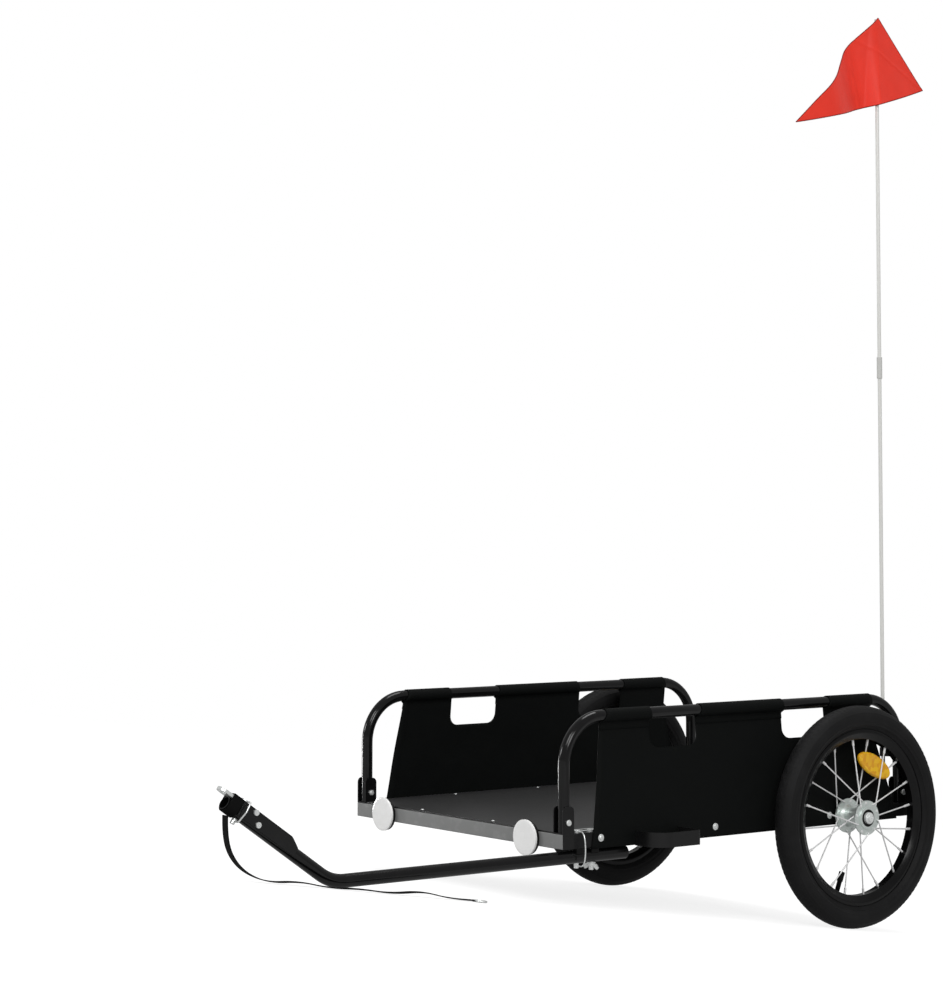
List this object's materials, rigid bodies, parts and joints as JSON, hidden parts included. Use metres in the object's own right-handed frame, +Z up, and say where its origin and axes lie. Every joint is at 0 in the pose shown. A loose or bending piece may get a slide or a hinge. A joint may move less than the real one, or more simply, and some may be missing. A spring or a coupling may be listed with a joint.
{
  "type": "bicycle cargo trailer",
  "caption": "Two-wheeled flatbed cargo trailer with fabric sides on tube hoops, a side-mounted tow arm and a tall flag, parked nose down on its arm.",
  "frame": {"origin": "on the floor under the middle of the trailer's box, as parked", "axes": "+Z up, -Y the trailer's forward direction, +X the trailer's left"},
  "size_m": [0.7301, 1.5452, 1.6943],
  "materials": {
    "zinc": "bright zinc plate",
    "black_paint": "gloss black powder coat",
    "deck_panel": "dark grey, faint sheen",
    "flag_cloth": "orange red coated cloth",
    "pole_sleeve": "light grey",
    "guard_plastic": "black, soft sheen",
    "pole_glass_fibre": "white",
    "lamp_plastic": "black",
    "clear_reflector": "clear prismatic lens",
    "black_rubber": "black",
    "rim_paint": "satin black",
    "amber_reflector": "amber prismatic lens",
    "spoke_steel": "bright drawn wire",
    "tyre": "black rubber",
    "red_reflector": "red prismatic lens",
    "webbing": "black webbing",
    "side_cloth": "black coated cloth"
  },
  "bodies": {
    "frame": {"axle_left": "zinc", "axle_right": "zinc", "axle_socket_left": "black_paint", "axle_socket_right": "black_paint", "axle_tube": "black_paint", "cross_rails": "black_paint", "deck_panel": "deck_panel", "flag": "flag_cloth", "flag_pole_ferrule": "pole_sleeve", "flag_pole_holders": "guard_plastic", "flag_pole_lower": "pole_glass_fibre", "flag_pole_upper": "pole_glass_fibre", "front_rail": "black_paint", "front_reflector_bases": "lamp_plastic", "front_reflectors": "clear_reflector", "hitch_bolts": "zinc", "hitch_channel": "black_paint", "hitch_pin": "zinc", "hitch_pin_bail": "zinc", "hitch_tongue": "zinc", "hoop_bolts": "zinc", "hoop_brackets": "black_paint", "lock_pin": "zinc", "lock_pin_bail": "zinc", "pivot_bolt": "zinc", "rear_rail": "black_paint", "rear_reflector_bases": "lamp_plastic", "rear_reflectors": "red_reflector", "safety_strap": "webbing", "side_fabric_left": "side_cloth", "side_fabric_right": "side_cloth", "side_guards": "guard_plastic", "side_hoop_left": "black_paint", "side_hoop_right": "black_paint", "side_rail_left": "black_paint", "side_rail_right": "black_paint", "strap_loop": "webbing", "strap_ring": "zinc", "tow_arm": "black_paint", "tow_arm_pads": "black_rubber", "wing_nut": "zinc"},
    "left_wheel": {"left_wheel_hub": "zinc", "left_wheel_hub_seal": "black_rubber", "left_wheel_rim": "rim_paint", "left_wheel_spoke_reflector": "amber_reflector", "left_wheel_spokes": "spoke_steel", "left_wheel_tyre": "tyre", "left_wheel_valve": "black_rubber"},
    "right_wheel": {"right_wheel_hub": "zinc", "right_wheel_hub_seal": "black_rubber", "right_wheel_rim": "rim_paint", "right_wheel_spoke_reflector": "amber_reflector", "right_wheel_spokes": "spoke_steel", "right_wheel_tyre": "tyre", "right_wheel_valve": "black_rubber"}
  },
  "joints": [
    {"name": "left_wheel_spin", "type": "hinge", "parent": "frame", "child": "left_wheel", "pos_m": [0.328, 0.57265, 0.2], "axis": [1, 0, 0], "continuous": true},
    {"name": "right_wheel_spin", "type": "hinge", "parent": "frame", "child": "right_wheel", "pos_m": [-0.328, 0.57265, 0.2], "axis": [1, 0, 0], "continuous": true}
  ]
}
